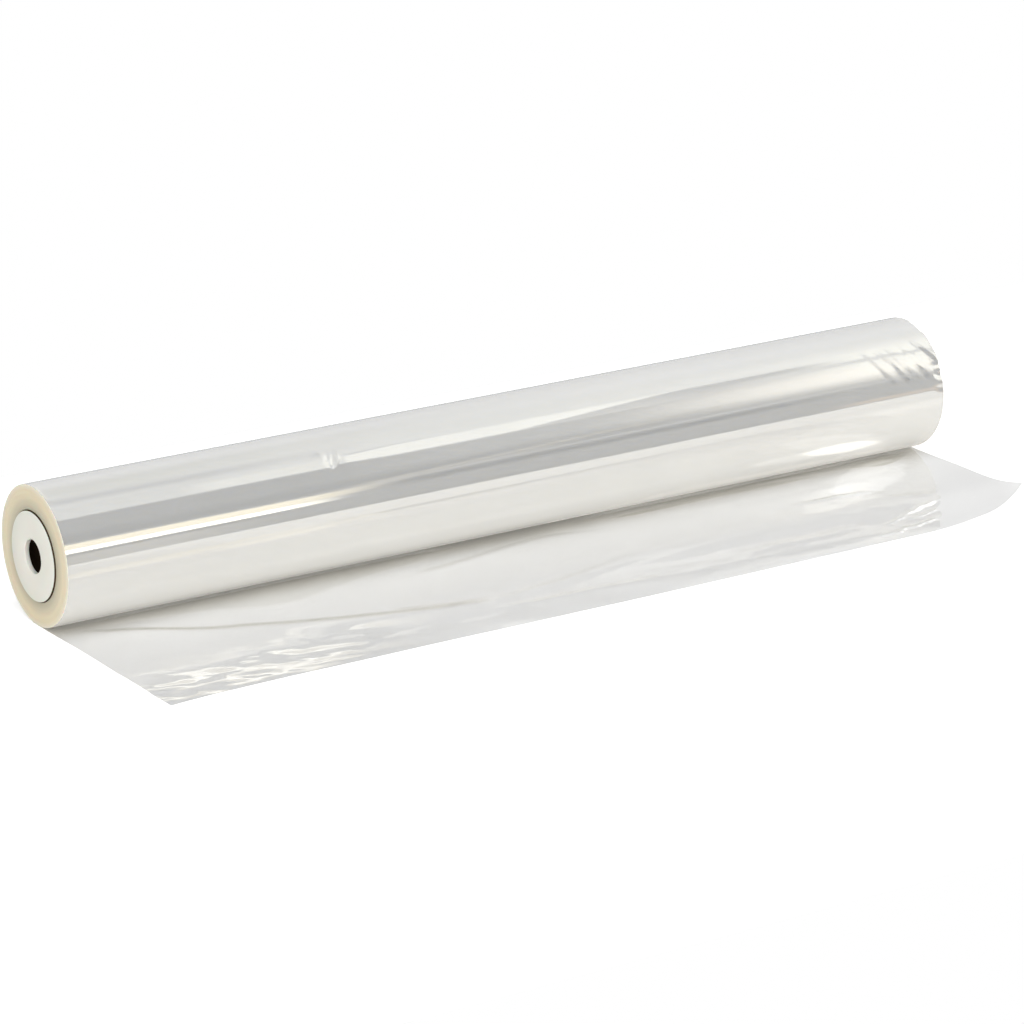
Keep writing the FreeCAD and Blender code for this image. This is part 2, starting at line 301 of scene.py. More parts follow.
# The last stretch of the skin at each end, which takes the rim's rounding.
END_STRETCH = 1.2
# Distances from the axis over which an end face goes from painted shade (grey, by the core) to cream, and then to
# painted light (paler, at the rim).
GREY_TO_CREAM, CREAM_TO_PALE = (21.5, 28.5), (30.5, 33.6)


def pucker(along, degrees):
    """Depth in millimetres of the small tuck in the outer turn, with the low swell that runs on from it."""
    step = along - PUCKER_ALONG
    round_skin = (degrees - PUCKER_ANGLE) * MM_PER_DEGREE
    swell = ease(step, 1, 6) * (1 - ease(step, 6, SWELL_LENGTH)) * bell(round_skin, 2.4, 3.4)
    tuck = -SWELL_HEIGHT * swell
    for depth, lean, place, width, turn_place, turn_width in TUCK_FOLDS:
        tuck += depth * bell(step + lean * round_skin, place, width) * bell(round_skin, turn_place, turn_width)
    return tuck


def crumple(from_rear, degrees):
    """Depth in millimetres of the fine folds and dents where the rear rim has been knocked."""
    if from_rear > CRUMPLE_REACH or not CRUMPLE_SPAN[0] < degrees < CRUMPLE_SPAN[1]:
        return 0.0
    round_skin = degrees * MM_PER_DEGREE
    knocked = ease(degrees, *CRUMPLE_START) * (1 - ease(degrees, *CRUMPLE_END))
    amount = (1 - from_rear / CRUMPLE_REACH) * knocked
    slant = from_rear + 0.7 * round_skin
    folds = FOLDS[0] * waves(slant, round_skin * 0.2, FOLDS[1], 8)
    folds += FINE_FOLDS[0] * waves(slant * 1.2, round_skin * 0.5, FINE_FOLDS[1], 9)
    dents = sum(depth * bell(degrees, angle, width) for angle, width, depth in RIM_DENTS)
    return amount * folds + (1 - ease(from_rear, 0, RIM_DENTS_REACH)) * dents


def skin_waves(along, degrees):
    """The faint unevenness of film under wind-up tension, in millimetres."""
    slow = SLOW_WAVES[0] * waves(along, degrees * 2.2, SLOW_WAVES[1], 1)
    return slow + STREAKS[0] * waves(along * 0.05, degrees * MM_PER_DEGREE, STREAKS[1], 2)


def ledge(radius, side):
    """How far inwards the turns at this radius end, in millimetres: no real end face is quite even."""
    return LEDGE_MEAN + LEDGE_DEPTH * noise.noise(Vector((radius / LEDGE_BREADTH, side * 3.7, 5.1)))


def shape_winding(bm, radius, bore):
    """Moves the turned mesh's vertices to the tucks, flutes, uneven turns and flat spot of a real winding."""
    length = (REAR_END - FRONT_END) / MM
    deep, shallow = (radius - depth * MM for depth in SKIN_DEPTHS)
    for vertex in bm.verts:
        y, z = vertex.co.y - AXIS_Y, vertex.co.z - AXIS_Z
        reach = math.hypot(y, z)
        degrees = math.degrees(math.atan2(-y, z)) % 360
        along = (vertex.co.x - FRONT_END) / MM
        relief = pucker(along, degrees) + crumple(length - along, degrees) + skin_waves(along, degrees)
        scale = 1 - ease(reach, deep, shallow) * relief * MM / reach
        vertex.co.y = AXIS_Y + y * scale
        vertex.co.z = max(AXIS_Z + z * scale, FLAT_SPOT_HEIGHT * MM)
        on_end = min(along, length - along) < 0.01
        if on_end and bore + 0.1 * MM < reach < radius - 0.4 * MM:
            side = 1 if along < length / 2 else -1
            vertex.co.x += side * ledge(reach / MM, side) * MM


def build_winding(sizes):
    """The wound film: its many turns as one body with true ends and an uneven skin."""
    radius, bore = sizes.winding_radius, sizes.bore_radius
    length = (REAR_END - FRONT_END) / MM
    pucker_start, pucker_end = (PUCKER_ALONG + step for step in PUCKER_STRETCH)
    # each stretch of the skin: where it starts, and how long its faces are
    stretches = (
        (0, 1.2),
        (END_STRETCH, 5),
        (pucker_start, 0.6),
        (pucker_end, 5),
        (length - CRUMPLE_REACH, 0.8),
        (length - END_STRETCH, 1.2),
    )
    corners = [(FRONT_END + start * MM, radius, step * MM) for start, step in stretches]
    corners += [(REAR_END, radius, 0.5 * MM), (REAR_END, bore, 40 * MM), (FRONT_END, bore, 0.5 * MM)]
    bm = bmesh.new()
    section(bm, corners)
    # finer steps where the tuck and the knocked rim are
    turn(bm, ((26, 13), (64, 100), (270, 110)))
    round_sharp_edges(bm, 0.45 * MM, 3)
    for face in bm.faces:
        face.material_index = 1 if abs(face.normal.x) > 0.7 else 0
    shape_winding(bm, radius, bore)
    return bm


def make_skin_material(colour):
    """Wound clear cellophane: many thin glossy layers, so it mirrors like silver over a pale milky body."""
    material, tree = new_material("Wound cellophane")
    place = about_axis(tree)
    haze = add_node(
        tree, "ShaderNodeTexNoise", inputs={"Vector": place, "Scale": 1 / (22 * MM), "Detail": 3.0}
    )
    tone = add_node(
        tree,
        "ShaderNodeMix",
        MIX_COLOURS,
        {"Factor": haze.outputs["Fac"], "A": rgba(c * 0.96 for c in colour), "B": rgba(colour)},
    )
    rough = add_node(
        tree,
        "ShaderNodeMapRange",
        inputs={
            "Value": haze.outputs["Fac"],
            "From Min": 0.3,
            "From Max": 0.7,
            "To Min": 0.012,
            "To Max": 0.03,
        },
    )
    # lengthwise drag lines about 2.5 mm apart, from how the film is pulled onto the core
    drag = add_node(tree, "ShaderNodeVectorMath", MULTIPLY, {0: place, 1: (0.02, 1.0, 1.0)})
    lines = add_node(
        tree,
        "ShaderNodeTexNoise",
        inputs={"Vector": drag.outputs["Vector"], "Scale": 1 / (2.5 * MM), "Detail": 1.0},
    )
    bump = add_node(
        tree, "ShaderNodeBump", inputs={"Height": lines.outputs["Fac"], "Strength": 0.1, "Distance": 0.01 * MM}
    )
    shader = add_node(
        tree,
        "ShaderNodeBsdfPrincipled",
        inputs={
            "Base Color": tone.outputs["Result"],
            "Metallic": 0.7,
            "Specular Tint": rgba((0.93, 0.93, 0.93)),
            "Subsurface Weight": 0.9,
            "Subsurface Radius": (1.0, 0.95, 0.85),
            "Subsurface Scale": 22 * MM,
            "Roughness": rough.outputs["Result"],
            "Normal": bump.outputs["Normal"],
        },
    )
    add_node(tree, "ShaderNodeOutputMaterial", inputs={"Surface": shader.outputs["BSDF"]})
    return material


def make_edge_material(colour):
    """Cellophane turns seen on edge: they gather to a warm cream, with painted shade that greys them by the core
    and painted light that makes them paler at the rim.
    """
    material, tree = new_material("Cellophane on edge")
    place = about_axis(tree)
    reach = distance_from_axis(tree, place)
    # real turns are 0.02 mm apart, and are drawn as bands of about 0.6 mm so that they show
    rings = add_node(
        tree,
        "ShaderNodeTexNoise",
        {"noise_dimensions": "1D"},
        {"W": reach, "Scale": 1 / (0.6 * MM), "Detail": 3.0},
    )
    # painted shade: the end face is greyer towards the core
    grey_to, cream_from = (distance * MM for distance in GREY_TO_CREAM)
    outwards = add_node(
        tree, "ShaderNodeMapRange", inputs={"Value": reach, "From Min": grey_to, "From Max": cream_from}
    )
    body = add_node(
        tree,
        "ShaderNodeMix",
        MIX_COLOURS,
        {
            "Factor": outwards.outputs["Result"],
            "A": rgba(c * share for c, share in zip(colour, (0.62, 0.64, 0.68))),
            "B": rgba(colour),
        },
    )
    # painted light: the end face is paler at the rim
    cream_to, pale_from = (distance * MM for distance in CREAM_TO_PALE)
    painted_rim_light = add_node(
        tree, "ShaderNodeMapRange", SMOOTH, {"Value": reach, "From Min": cream_to, "From Max": pale_from}
    )
    glow = add_node(
        tree,
        "ShaderNodeMix",
        MIX_COLOURS,
        {"Factor": painted_rim_light.outputs["Result"], "A": body.outputs["Result"], "B": rgba(srgb("#f5efdc"))},
    )
    fine = add_node(
        tree,
        "ShaderNodeMix",
        MULTIPLY_COLOURS,
        {"Factor": rings.outputs["Fac"], "A": glow.outputs["Result"], "B": rgba((0.95, 0.95, 0.94))},
    )
    bump = add_node(
        tree, "ShaderNodeBump", inputs={"Height": rings.outputs["Fac"], "Strength": 0.3, "Distance": 0.05 * MM}
    )
    shader = add_node(
        tree,
        "ShaderNodeBsdfPrincipled",
        inputs={
            "Base Color": fine.outputs["Result"],
            "Roughness": 0.34,
            "Subsurface Weight": 0.25,
            "Subsurface Scale": 3 * MM,
            "Normal": bump.outputs["Normal"],
        },
    )
    add_node(tree, "ShaderNodeOutputMaterial", inputs={"Surface": shader.outputs["BSDF"]})
    return material


class ROLL_OT_add_wound_film(bpy.types.Operator):
    """Makes the wound film with its uneven skin, its tuck and its knocked rear rim"""

    bl_idname = "roll.add_wound_film"
    bl_label = "Wound Film"

    def execute(self, context):
        colours = context.scene.cellophane_colours
        materials = [make_skin_material(colours.winding), make_edge_material(colours.winding_end)]
        new_piece("wound_film", build_winding(context.scene.cellophane_sizes), materials, "film")
        return {"FINISHED"}


# ---------------------------------------------------------------- loose film

# All of these are in millimetres. Places are along the roll from its front end, and out from below its axis.
UNDER_ROLL = 5
SHEET_STEPS = (330, 140)
# How far the sheet lies off the floor, and how much further where the roll no longer holds it down.
OFF_FLOOR, FREE_LIFT = 0.02, 0.25
HELD_TO, FREE_FROM = 14, 40

# The cut edge drifts out at the front and is trimmed back at the rear: how far, and over what length.
CUT_DRIFT, CUT_DRIFT_LENGTH = 2.7, 60.0
CORNER_TRIM, CORNER_TRIM_LENGTH = 28.0, 83.0
# The rear corner curls up past a line from its side to the cut edge: the line's two ends, and the curl's height.
CURL_SIDE, CURL_END, CURL_HEIGHT, CURL_POWER = 71.0, 41.0, 4.2, 1.9
# Long ripples start beyond a flat strip, and are lower at the front until they grow between two places.
FLAT_STRIP = 28.0
RIPPLE_HEIGHT, RIPPLE_SPACING = 0.8, 44.0
RIPPLE_FRONT_SHARE, RIPPLE_GROWTH = 0.25, (80, 190)

# Creases: steep is the width on the roll's side and gentle on the far side, grey is how much painted shade the
# film gets on it, wander is how far it strays from its line, and the line goes through places as (along, out).
Crease = collections.namedtuple("Crease", "height steep gentle fade_in fade_out grey wander line")
MAIN_CREASE = (
    (2, 15),
    (18, 25),
    (36, 35),
    (59, 50.5),
    (85, 61),
    (105, 69),
    (121, 75),
    (144, 82),
    (163, 86.5),
    (199, 92.5),
)
CREASES = (
    Crease(0.42, 3.2, 19, 30, 26, 1.0, 0.3, MAIN_CREASE),
    Crease(0.12, 1.8, 5, 10, 18, 0.5, 0.3, ((142, 76), (162, 81.5), (183, 86), (200, 87))),
    Crease(0.22, 3, 9, 20, 110, 0.3, 0.5, ((188, 90), (204, 89), (239, 84), (285, 73), (330, 65))),
    Crease(0.3, 2.5, 12, 25, 60, 0.25, 1.0, ((186, 98), (208, 103.5), (232, 103.5), (263, 106), (300, 108))),
    Crease(
        0.16, 3, 6, 22, 22, 0.4, 0.4, ((176, 39), (202, 36.5), (230, 30.5), (258, 26), (275, 28), (292, 33))
    ),
    Crease(0.4, 1.5, 3.2, 25, 10, 0.4, 1.2, ((386, 53), (395, 53.5), (418, 54.3), (434, 57), (444, 66))),
    Crease(0.5, 1.5, 2.6, 9, 9, 0.3, 2.0, ((408, 104), (416, 102.4), (429, 97), (443, 91.5), (456, 87))),
    Crease(0.3, 1.3, 2.4, 9, 7, 0.3, 2.0, ((424, 104), (436, 101), (450, 96))),
    Crease(
        0.45, 1.3, 2.4, 9, 7, 0.3, 2.0, ((394, 118.5), (403, 117.7), (417, 115.4), (430, 112.4), (441, 110))
    ),
    Crease(
        0.3, 4, 7, 22, 22, 0.2, 2.0, ((325, 101), (342, 100.5), (362, 99.4), (377, 100), (393, 99), (408, 97))
    ),
    Crease(0.2, 3, 5, 15, 20, 0.2, 2.0, ((432, 68), (446, 74), (458, 78), (474, 72))),
)
# Where the film comes down to the floor in front of the roll, as (along, out).
TOUCHDOWN = (
    (0, 13),
    (35, 20),
    (62, 26.7),
    (79, 30.7),
    (98, 39),
    (116, 40.5),
    (139, 34),
    (168, 27.5),
    (192, 23.3),
    (215, 15),
    (262, 11),
    (280, 12),
    (290, 15),
    (301, 18.2),
    (321, 21.2),
    (371, 21.5),
    (401, 22.8),
    (419, 21),
    (448, 19.6),
    (471, 25),
    (493, 16),
    (500, 14),
)
# Between the roll and that line the film stands off the floor: how high, where it leaves the roll, how much
# further out it has to come down to stand so high, and how much painted shade it gets. At the rear it gets more
# painted shade, with streaks of painted shade for wrinkles.
STAND_HEIGHT, ROLL_FOOT, FULL_STAND = 1.2, 14, 9
STAND_GREY, STAND_GREY_REAR, STAND_REAR = 0.42, 0.2, (250, 300)
PAINTED_WRINKLE_SPACING, PAINTED_WRINKLE_SHARE = 2.4, 1.3
# The painted shade ends at the line where the film meets the floor, softly at the front and crisply at the rear:
# the two widths, and where it changes along the roll.
LINE_WIDTHS, LINE_CHANGE = (5.0, 0.8), (150, 290)
# Close to the roll the film gets painted shade, for the little light that gets under it: how grey that is, from
# where to where out it fades, and how much of it is missing at the rear.
FOOT_GREY, FOOT_GREY_OUT = 0.45, (10, 27)
FOOT_GREY_LOSS, FOOT_GREY_REAR = 0.6, (290, 350)
# Dimples: along, out and height. Each is this wide along and out.
SPECKS = ((144.5, 83.5, 0.08), (208, 34, 0.28), (121, 46, 0.1), (253, 62, 0.12))
SPECK_WIDTHS = (1.3, 1.5)
# The finer crinkles' height and where they fade in: along and out at the front corner, along and out at the
# rear and the stretch over which they end there, and out by the cut edge.
FRONT_CRACKLE, FRONT_CRACKLE_ALONG, FRONT_CRACKLE_OUT = 0.11, (60, 130), (62, 88)
REAR_CRACKLE, REAR_CRACKLE_ALONG, REAR_CRACKLE_OUT, REAR_CRACKLE_END = 0.16, (375, 425), (20, 50), (474, 494)
EDGE_CRACKLE, EDGE_CRACKLE_OUT = 0.1, (80, 104)


def line_place(points, along):
    """Where a smooth line through the points lies at a place along the roll, or None past its ends."""
    if not points[0][0] <= along <= points[-1][0]:
        return None
    i = 1
    while points[i][0] < along:
        i += 1
    (x0, y0), (x1, y1) = points[i - 1], points[i]
    before = points[max(0, i - 2)]
    after = points[min(len(points) - 1, i + 1)]
    slope0 = (y1 - before[1]) / (x1 - before[0])
    slope1 = (after[1] - y0) / (after[0] - x0)
    run = x1 - x0
    share = (along - x0) / run
    rest = 1 - share
    return (
        y0 * (1 + 2 * share) * rest**2
        + y1 * (3 - 2 * share) * share**2
        + run * (slope0 * share * rest**2 - slope1 * rest * share**2)
    )


@functools.lru_cache(maxsize=2)
def folds_at(along):
    """For one place along the roll: the creases met there with how strong each is, and the touchdown line."""
    met = []
    for crease in CREASES:
        place = line_place(crease.line, along)
        if place is not None:
            start, end = crease.line[0][0], crease.line[-1][0]
            place += crease.wander * waves(along, start, 6, 11)
            fade = ease(along, start, start + crease.fade_in)
            fade *= 1 - ease(along, end - crease.fade_out, end)
            met.append((place, crease.height * fade, crease.steep, crease.gentle, crease.grey * fade))
    return met, line_place(TOUCHDOWN, along)


def cut_reach(along, reach, length):
    """How far out the cut edge lies: it drifts out at the front and falls back at the rear corner."""
    drift = max(0, 1 - along / CUT_DRIFT_LENGTH)
    trim = max(0, (along - (length - CORNER_TRIM_LENGTH)) / CORNER_TRIM_LENGTH)
    return reach + CUT_DRIFT * drift**2 - CORNER_TRIM * trim**2


def curl_lift(along, out, reach, length):
    """The rear corner's lift, past a fold line that runs from its side to the cut edge."""
    run = reach - CURL_SIDE

    def past_fold(from_rear, place):
        return ((place - CURL_SIDE) * CURL_END - from_rear * run) / math.hypot(run, CURL_END)

    share = max(0, past_fold(length - along, out)) / past_fold(0, reach - CORNER_TRIM)
    return CURL_HEIGHT * share**CURL_POWER


def ripple_lift(along, out, length):
    """Long low ripples from lying on the roll."""
    place = along / length
    crests = (out - FLAT_STRIP) / RIPPLE_SPACING
    slant = 0.45 * math.sin(math.pi * place) + 0.2 * place
    wave = 0.55 - 0.45 * math.cos(2 * math.pi * (crests + slant))
    fade = 0.65 + 0.35 * math.sin(3 * math.pi * place + 0.7)
    fade *= RIPPLE_FRONT_SHARE + (1 - RIPPLE_FRONT_SHARE) * ease(along, *RIPPLE_GROWTH)
    return RIPPLE_HEIGHT * min(1, max(0, crests)) * wave * fade


def crease_lift(along, out):
    """Height of the creases, steep on the roll's side and gentle on the far side, and how much painted shade they
    get.
    """
    lift = 0.0
    grey = 0.0
    for place, height, steep, gentle, tone in folds_at(along)[0]:
        off = out - place
        lift += height * ease(off, -2 * steep, 0) * (1 - ease(off, 0, gentle))
        grey = max(grey, tone * bell(off, -0.8 * steep, 0.3 + 0.75 * steep))
    return lift, grey


def buckle(along, out):
    """Film that stands off the floor from the roll to the touchdown line: its height, and the painted shade on
    it.
    """
    end = folds_at(along)[1]
    tall = min(1, max(0, (end - ROLL_FOOT) / FULL_STAND))
    fall = min(1, max(0, (out - ROLL_FOOT) / max(1, end - ROLL_FOOT)))
    height = STAND_HEIGHT * tall * ease(out, ROLL_FOOT / 2, ROLL_FOOT) * (1 - fall)
    rear = ease(along, *STAND_REAR)
    # streaks of painted shade stand for wrinkles; the film's height has none
    painted_wrinkles = PAINTED_WRINKLE_SHARE * rear * waves(along * 0.05, out, PAINTED_WRINKLE_SPACING, 15)
    front_width, rear_width = LINE_WIDTHS
    width = rear_width + (front_width - rear_width) * (1 - ease(along, *LINE_CHANGE))
    inside = 1 - ease(out, end - width, end + 0.4 * width)
    stood = (STAND_GREY + STAND_GREY_REAR * rear) * tall * (1 + painted_wrinkles) * inside
    foot = FOOT_GREY * (1 - ease(out, *FOOT_GREY_OUT)) * (1 - FOOT_GREY_LOSS * ease(along, *FOOT_GREY_REAR))
    return height, max(stood, foot)


def speck_lift(along, out):
    """Tiny dimples in the loose film."""
    wide, deep = SPECK_WIDTHS
    return sum(height * bell(along, x, wide) * bell(out, y, deep) for x, y, height in SPECKS)


def crackle(along, out):
    """The finer crinkles of thin stiff film: crisp near the corners and along the cut edge."""
    edge = ease(out, *EDGE_CRACKLE_OUT)
    front = (1 - ease(along, *FRONT_CRACKLE_ALONG)) * ease(out, *FRONT_CRACKLE_OUT)
    rear = ease(along, *REAR_CRACKLE_ALONG) * ease(out, *REAR_CRACKLE_OUT)
    rear *= 1 - ease(along, *REAR_CRACKLE_END)
    slant = along - 0.5 * out
    front_waves = waves(slant / 1.6, out, 11, 3) + 0.34 * waves(slant / 1.4, out, 5, 4)
    rear_waves = waves(along / 1.3, out, 9, 13) + 0.4 * waves(along, out, 4.5, 14)
    long_waves = waves(slant * 0.35, out, 10, 5) + 0.45 * waves(slant * 0.4, out, 5, 6)
    crinkles = FRONT_CRACKLE * front * front_waves + REAR_CRACKLE * rear * rear_waves
    return crinkles + EDGE_CRACKLE * edge * long_waves


PAINTED_SHADE_LAYER = "painted_fold_shade"


def build_loose_film(sizes):
    """The loose end: one thin sheet that leaves the roll at the floor, with its ripples, crinkles and curl."""
    length = (REAR_END - FRONT_END) / MM
    reach = sizes.film_reach / MM
    bm = bmesh.new()
    bmesh.ops.create_grid(bm, x_segments=SHEET_STEPS[0], y_segments=SHEET_STEPS[1], size=0.5)
    tone = bm.verts.layers.float.new(PAINTED_SHADE_LAYER)
    for vertex in bm.verts:
        along = (vertex.co.x + 0.5) * length
        out = (0.5 - vertex.co.y) * (cut_reach(along, reach, length) + UNDER_ROLL) - UNDER_ROLL
        lift = curl_lift(along, out, reach, length) + ripple_lift(along, out, length)
        crease, crease_grey = crease_lift(along, out)
        stand, stand_grey = buckle(along, out)
        fine = crackle(along, out) + crease + speck_lift(along, out)
        lift += ease(out, HELD_TO, FREE_FROM) * (FREE_LIFT + fine) + stand
        height = max(0, lift) + OFF_FLOOR
        vertex.co = (FRONT_END + along * MM, AXIS_Y - out * MM, height * MM)
        # painted shade on creases and where the film stands off the floor, for the material
        vertex[tone] = max(crease_grey, stand_grey)
    bmesh.ops.recalc_face_normals(bm, faces=bm.faces[:])
    if bm.faces[0].normal.z < 0:
        bmesh.ops.reverse_faces(bm, faces=bm.faces[:])
    bmesh.ops.solidify(bm, geom=bm.faces[:], thickness=-sizes.film_thickness)
    bmesh.ops.recalc_face_normals(bm, faces=bm.faces[:])
    return bm


def make_loose_material(colour):
    """One layer of cellophane: clear with a faint grey cast, mirror-bright at a low angle, and with painted shade
    on creases and where it stands off the floor.
    """
    material, tree = new_material("Clear cellophane")
    place = add_node(tree, "ShaderNodeTexCoord").outputs["Object"]
    facing = add_node(tree, "ShaderNodeLayerWeight", inputs={"Blend": 0.5}).outputs["Facing"]
    grazing = add_node(tree, "ShaderNodeMath", {"operation": "POWER"}, {0: facing, 1: 5.0})
    share = add_node(
        tree, "ShaderNodeMapRange", inputs={"Value": grazing.outputs["Value"], "To Min": 0.045, "To Max": 1.0}
    )
    cloud = add_node(
        tree, "ShaderNodeTexNoise", inputs={"Vector": place, "Scale": 1 / (30 * MM), "Detail": 2.0}
    )
    tint = add_node(
        tree,
        "ShaderNodeMix",
        MIX_COLOURS,
        {"Factor": cloud.outputs["Fac"], "A": rgba(c * 0.985 for c in colour), "B": rgba(colour)},
    )
    # painted shade on creases and on film that stands off the floor, seen by the camera only
    grey = add_node(tree, "ShaderNodeAttribute", {"attribute_name": PAINTED_SHADE_LAYER}).outputs["Fac"]
    seen = add_node(tree, "ShaderNodeLightPath").outputs["Is Camera Ray"]
    seen_painted_shade = add_node(tree, "ShaderNodeMath", MULTIPLY, {0: grey, 1: seen})
    shaded_tint = add_node(
        tree,
        "ShaderNodeMix",
        MIX_COLOURS,
        {"Factor": seen_painted_shade.outputs["Value"], "A": tint.outputs["Result"], "B": rgba(srgb("#ebeae6"))},
    )
    clear = add_node(tree, "ShaderNodeBsdfTransparent", inputs={"Color": shaded_tint.outputs["Result"]})
    mirror = add_node(tree, "ShaderNodeBsdfGlossy", inputs={"Color": (1, 1, 1, 1), "Roughness": 0.01})
    shader = add_node(
        tree,
        "ShaderNodeMixShader",
        inputs={0: share.outputs["Result"], 1: clear.outputs["BSDF"], 2: mirror.outputs["BSDF"]},
    )
    add_node(tree, "ShaderNodeOutputMaterial", inputs={"Surface": shader.outputs["Shader"]})
    return material


class ROLL_OT_add_loose_film(bpy.types.Operator):
    """Makes the loose end of the film, laid out in front of the roll"""

    bl_idname = "roll.add_loose_film"
    bl_label = "Loose Film"

    def execute(self, context):
        sizes = context.scene.cellophane_sizes
        material = make_loose_material(context.scene.cellophane_colours.loose_film)
        sheet = new_piece("loose_film", build_loose_film(sizes), [material], "film")
        return {"FINISHED"}


# ---------------------------------------------------------------- core and plugs


def build_core(sizes):
    """The card tube that the film is wound on."""
    bm = bmesh.new()
    corners = [
        (core_low.x, sizes.core_radius, 30 * MM),
        (core_high.x, sizes.core_radius, 0),
        (core_high.x, sizes.core_bore_radius, 30 * MM),
        (core_low.x, sizes.core_bore_radius, 0),
    ]
    section(bm, corners)
    turn(bm, ((360, 96),))
    round_sharp_edges(bm, 0.2 * MM, 2)
    return bm


def make_card_material(colour):
    """Spiral-wound core board: dull grey-brown paper with a seam that climbs round the tube."""
    material, tree = new_material("Spiral-wound board")
    place = about_axis(tree)
    axes = add_node(tree, "ShaderNodeSeparateXYZ", inputs={"Vector": place})
    angle = add_node(
        tree, "ShaderNodeMath", {"operation": "ARCTAN2"}, {0: axes.outputs["Y"], 1: axes.outputs["Z"]}
    )
    turns = add_node(
        tree, "ShaderNodeMath", {"operation": "DIVIDE"}, {0: angle.outputs["Value"], 1: 2 * math.pi}
    )
    # one ply is about 100 mm wide along the tube
    climb = add_node(
        tree,
        "ShaderNodeMath",
        MULTIPLY_ADD,
        {0: axes.outputs["X"], 1: 1 / (100 * MM), 2: turns.outputs["Value"]},
    )
    seam = add_node(tree, "ShaderNodeMath", {"operation": "PINGPONG"}, {0: climb.outputs["Value"], 1: 0.5})
    line = add_node(
        tree,
        "ShaderNodeMapRange",
        inputs={"Value": seam.outputs["Value"], "From Max": 0.012, "To Min": 0.6, "To Max": 1.0},
    )
    fibres = add_node(
        tree, "ShaderNodeTexNoise", inputs={"Vector": place, "Scale": 1 / (1.2 * MM), "Detail": 5.0}
    )
    dark, pale, in_seam = (rgba(c * share for c in colour) for share in (0.8, 1.15, 0.45))
    shades = {"Factor": fibres.outputs["Fac"], "A": dark, "B": pale}
    paper = add_node(tree, "ShaderNodeMix", MIX_COLOURS, shades)
    seamed = add_node(
        tree,
        "ShaderNodeMix",
        MIX_COLOURS,
        {"Factor": line.outputs["Result"], "A": in_seam, "B": paper.outputs["Result"]},
    )
    bump = add_node(
        tree, "ShaderNodeBump", inputs={"Height": fibres.outputs["Fac"], "Strength": 0.4, "Distance": 0.1 * MM}
    )
    shader = add_node(
        tree,
        "ShaderNodeBsdfPrincipled",
        inputs={
            "Base Color": seamed.outputs["Result"],
            "Roughness": 0.85,
            "Normal": bump.outputs["Normal"],
        },
    )
    add_node(tree, "ShaderNodeOutputMaterial", inputs={"Surface": shader.outputs["BSDF"]})
    return material


class ROLL_OT_add_core(bpy.types.Operator):
    """Makes the card core"""

    bl_idname = "roll.add_core"
    bl_label = "Card Core"

    def execute(self, context):
        material = make_card_material(context.scene.cellophane_colours.card)
        bm = build_core(context.scene.cellophane_sizes)
        new_piece("card_core", bm, [material], "core_tube")
        return {"FINISHED"}


LIP_ROUNDING, PLUG_ROUNDING = 0.1 * MM, 0.35 * MM
GATE_ANGLE, GATE_RING = 25, 20.95 * MM
NIB_RADIUS, NIB_FLATNESS = 0.6 * MM, 0.35


def build_plug(sizes, low, high, at_front):
    """One end plug: a plate with a thin lip on the card's end and a spigot in the core, round a hole."""
    outer, inner = (low.x, high.x) if at_front else (high.x, low.x)
    inwards = 1 if at_front else -1
    under_lip = outer + inwards * sizes.lip_thickness
    back = outer + inwards * sizes.plate_thickness
    cup = sizes.spigot_radius - sizes.spigot_wall
    bm = bmesh.new()
    corners = [
        (outer, sizes.lip_radius, 0),
        (under_lip, sizes.lip_radius, 0),
        (under_lip, sizes.spigot_radius, 0),
        (inner, sizes.spigot_radius, 0),
        (inner, cup, 0),
        (back, cup, 0),
        (back, sizes.spindle_radius, 0),
        (outer, sizes.spindle_radius, 0),
    ]
    section(bm, corners)
    turn(bm, ((360, 160),))
    round_sharp_edges(bm, LIP_ROUNDING, 3, beyond=sizes.spigot_radius + 1 * MM)
    round_sharp_edges(bm, PLUG_ROUNDING, 3)
    return bm


def add_gate_mark(bm, outer):
    """The small nib that the mould's gate leaves on the rim of the front plug."""
    angle = math.radians(GATE_ANGLE)
    place = (outer, AXIS_Y - GATE_RING * math.cos(angle), AXIS_Z - GATE_RING * math.sin(angle))
    matrix = Matrix.Translation(place) @ Matrix.Diagonal((NIB_FLATNESS, 1, 1, 1))
    bmesh.ops.create_uvsphere(bm, u_segments=24, v_segments=12, radius=NIB_RADIUS, matrix=matrix)


def make_plug_material(colour):
    """Moulded polypropylene: waxy matt white with a fine spark-eroded grain."""
    material, tree = new_material("White polypropylene")
    place = about_axis(tree)
    grain = add_node(
        tree, "ShaderNodeTexNoise", inputs={"Vector": place, "Scale": 1 / (0.4 * MM), "Detail": 2.0}
    )
    cloud = add_node(
        tree, "ShaderNodeTexNoise", inputs={"Vector": place, "Scale": 1 / (9 * MM), "Detail": 2.0}
    )
    tone = add_node(
        tree,
        "ShaderNodeMix",
        MIX_COLOURS,
        {"Factor": cloud.outputs["Fac"], "A": rgba(c * 0.965 for c in colour), "B": rgba(colour)},
    )
    bump = add_node(
        tree,
        "ShaderNodeBump",
        inputs={"Height": grain.outputs["Fac"], "Strength": 0.25, "Distance": 0.03 * MM},
    )
    shader = add_node(
        tree,
        "ShaderNodeBsdfPrincipled",
        inputs={
            "Base Color": tone.outputs["Result"],
            "Roughness": 0.5,
            "IOR": 1.49,
            "Subsurface Weight": 0.15,
            "Subsurface Scale": 1 * MM,
            "Normal": bump.outputs["Normal"],
        },
    )
    add_node(tree, "ShaderNodeOutputMaterial", inputs={"Surface": shader.outputs["BSDF"]})
    return material


